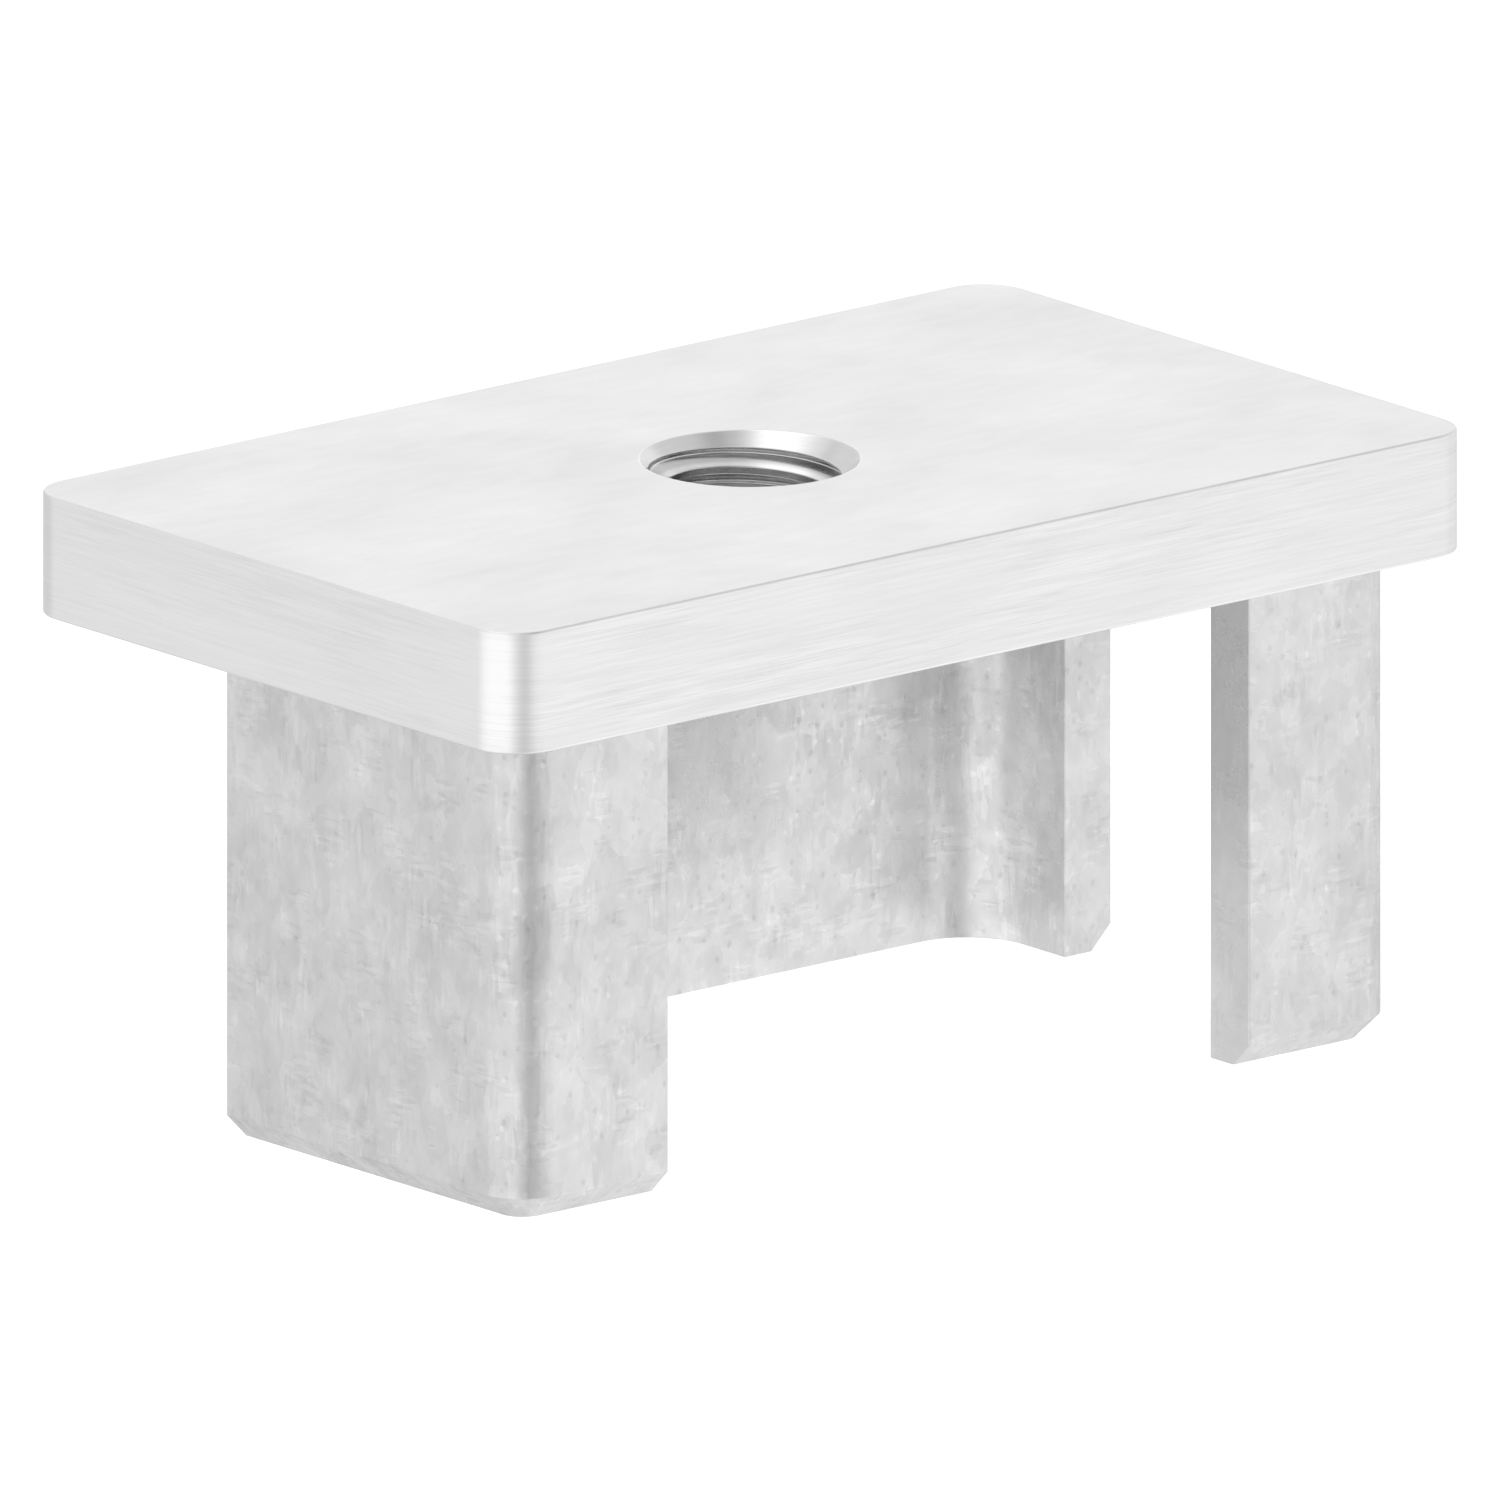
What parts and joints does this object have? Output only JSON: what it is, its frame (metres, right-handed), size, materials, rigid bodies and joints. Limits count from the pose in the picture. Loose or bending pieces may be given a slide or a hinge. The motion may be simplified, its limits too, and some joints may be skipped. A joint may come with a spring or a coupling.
{
  "type": "threaded tube insert",
  "caption": "Stainless steel end insert for rectangular tube: a rounded cap plate with a countersunk tapped hole, over a slotted skirt that fits inside the tube.",
  "frame": {"origin": "on the thread's axis, in the seat plane: the underside of the cap plate, which bears on the tube's cut end", "axes": "+X along the cap plate's long side, +Y along its short side, +Z along the thread's axis out of the tube"},
  "size_m": [0.05, 0.03, 0.025],
  "materials": {
    "stainless_steel": "fine brushed satin on the cap plate, dull mottled cast and pickled skin on the skirt, bright cut thread"
  },
  "bodies": {
    "root": {"tube_insert": "stainless_steel"}
  },
  "joints": []
}
